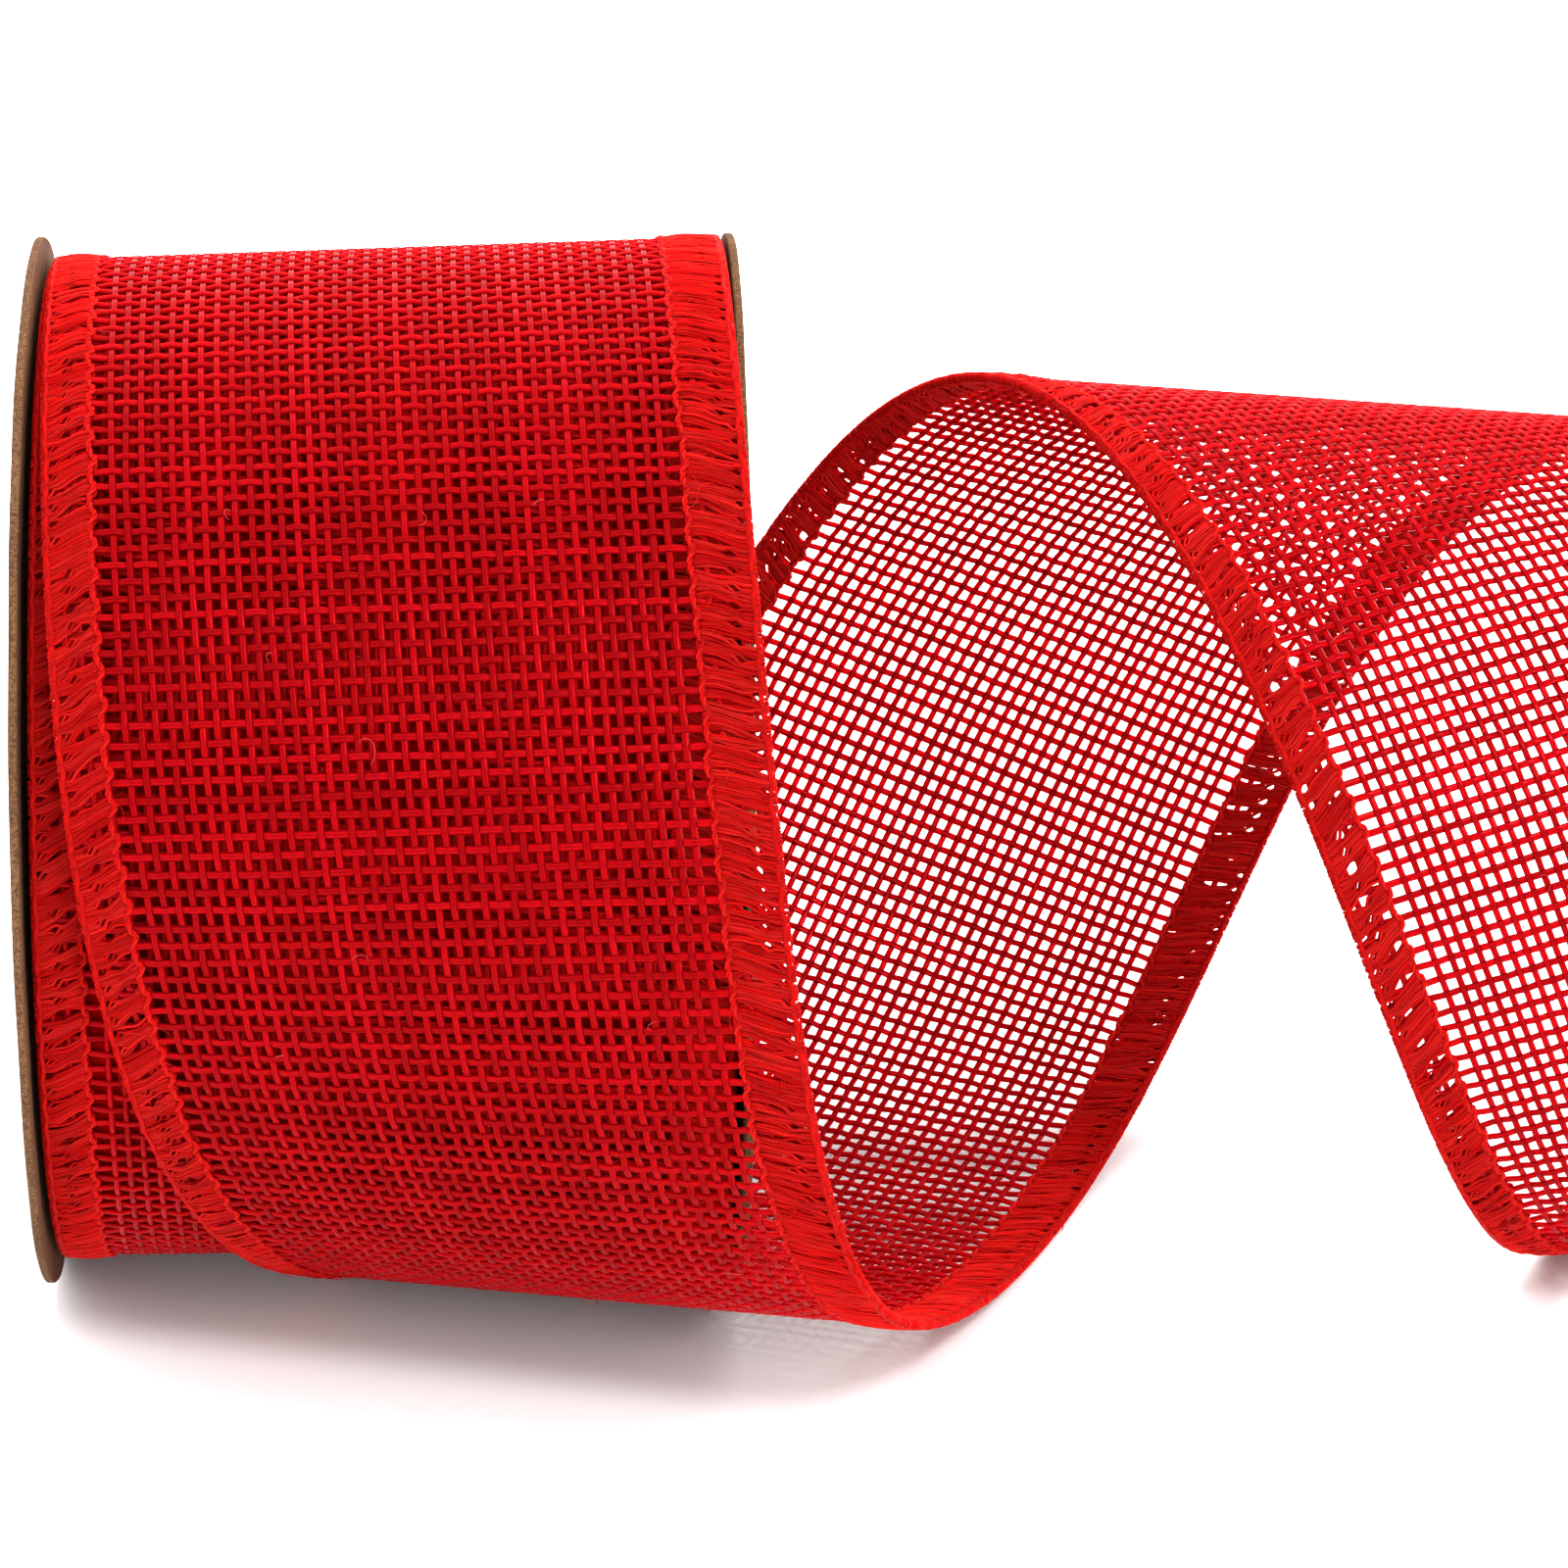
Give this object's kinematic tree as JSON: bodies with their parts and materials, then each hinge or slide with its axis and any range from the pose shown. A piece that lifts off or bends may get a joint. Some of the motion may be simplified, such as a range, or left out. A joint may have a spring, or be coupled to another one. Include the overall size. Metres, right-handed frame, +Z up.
{
  "type": "ribbon spool",
  "caption": "Spool of wired open-weave red ribbon between chipboard disc flanges, its free end passing under one flange and standing beside it in a loose helix.",
  "frame": {"origin": "middle of the base: the centre of the bounding box, at the level of the table", "axes": "+X along the spool's axis from the left flange to the free ribbon, +Y to the back, +Z up"},
  "size_m": [0.247, 0.1472, 0.1026],
  "materials": {
    "chipboard": "uncoated kraft chipboard",
    "paperboard": "uncoated spiral-wound paperboard",
    "glue": "dried hot-melt glue",
    "tape": "paper tape",
    "mesh": "open plain weave of red synthetic yarn",
    "hem": "dense red overlock stitching",
    "wire": "thin drawn wire"
  },
  "bodies": {
    "ribbon_tail": {"tail_mesh": "mesh", "tail_left_hem": "hem", "tail_right_hem": "hem", "tail_left_wire": "wire", "tail_right_wire": "wire"},
    "spool": {"left_flange": "chipboard", "right_flange": "chipboard", "core_tube": "paperboard", "left_glue_ring": "glue", "right_glue_ring": "glue", "start_tape": "tape", "wound_mesh": "mesh", "wound_left_hem": "hem", "wound_right_hem": "hem", "wound_left_wire": "wire", "wound_right_wire": "wire"}
  },
  "joints": [
    {"name": "payout_turn", "type": "hinge", "parent": "ribbon_tail", "child": "spool", "pos_m": [-0.08938, -0.01078, 0.05085], "axis": [0.9999, 0, 0.0167], "continuous": true}
  ]
}
